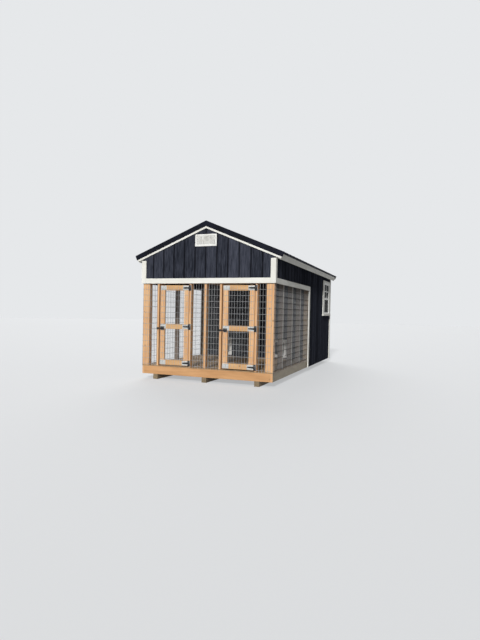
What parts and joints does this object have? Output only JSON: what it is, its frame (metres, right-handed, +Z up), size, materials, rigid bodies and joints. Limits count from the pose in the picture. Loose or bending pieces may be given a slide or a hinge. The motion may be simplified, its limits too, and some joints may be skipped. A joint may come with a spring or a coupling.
{
  "type": "two-run kennel shed",
  "caption": "Portable gable-roofed kennel shed: closed box at the back, wire-mesh dog runs with hinged gates at the front, on timber skids.",
  "frame": {"origin": "on the ground, under the middle of the building's bounding box", "axes": "+Z up, +Y along the ridge from the gates to the closed back, +X to the right seen from the gates"},
  "size_m": [2.7662, 4.935, 2.7519],
  "materials": {
    "black_siding": "painted, vertical grooves",
    "white_trim": "painted, satin",
    "new_lumber": "planed, unfinished",
    "rim_lumber": "planed, weathered",
    "deck_sheet": "sheet, unfinished",
    "wall_lining": "lined, satin",
    "black_steel": "painted, ribbed",
    "galvanised_wire": "galvanised",
    "black_hardware": "satin",
    "white_plastic": "moulded",
    "clear_glass": "clear"
  },
  "bodies": {
    "building": {"skids": "rim_lumber", "side_rims": "rim_lumber", "cross_joists": "rim_lumber", "run_floor": "deck_sheet", "box_floor": "deck_sheet", "corner_post_left": "new_lumber", "corner_post_right": "new_lumber", "centre_post": "new_lumber", "gate_jambs": "new_lumber", "front_header": "new_lumber", "run_studs": "new_lumber", "top_plates": "new_lumber", "partition_rail": "new_lumber", "partition_post": "new_lumber", "front_mesh": "galvanised_wire", "side_mesh_left": "galvanised_wire", "side_mesh_right": "galvanised_wire", "partition_mesh": "galvanised_wire", "front_gable_siding": "black_siding", "back_siding": "black_siding", "run_siding": "black_siding", "box_siding_left": "black_siding", "box_siding_right": "black_siding", "box_wall_left": "wall_lining", "box_wall_right": "wall_lining", "back_wall": "wall_lining", "inner_wall": "black_siding", "dog_door_frames": "white_plastic", "window_frames": "white_plastic", "window_glass": "clear_glass", "window_trims": "white_trim", "front_vent": "white_plastic", "back_vent": "white_plastic", "front_band": "white_trim", "corner_boards": "white_trim", "side_bands": "white_trim", "run_end_boards": "white_trim", "rafters": "new_lumber", "ridge_board": "new_lumber", "roof_sheathing": "deck_sheet", "roof_panels": "black_steel", "ridge_cap": "black_steel", "gable_trims": "black_steel", "eave_trims": "black_steel", "fascias": "white_trim", "rake_boards": "white_trim", "hinge_leaves": "black_hardware", "latch_catches": "black_hardware"},
    "gate_left": {"gate_left_frame": "new_lumber", "gate_left_mesh": "galvanised_wire", "gate_left_hardware": "black_hardware"},
    "gate_right": {"gate_right_frame": "new_lumber", "gate_right_mesh": "galvanised_wire", "gate_right_hardware": "black_hardware"}
  },
  "joints": [
    {"name": "gate_left_hinge", "type": "hinge", "parent": "building", "child": "gate_left", "pos_m": [-0.3065, -2.447, 0.945], "axis": [0, 0, 1], "range_deg": [0, 160]},
    {"name": "gate_right_hinge", "type": "hinge", "parent": "building", "child": "gate_right", "pos_m": [0.8935, -2.447, 0.945], "axis": [0, 0, 1], "range_deg": [0, 160]}
  ]
}
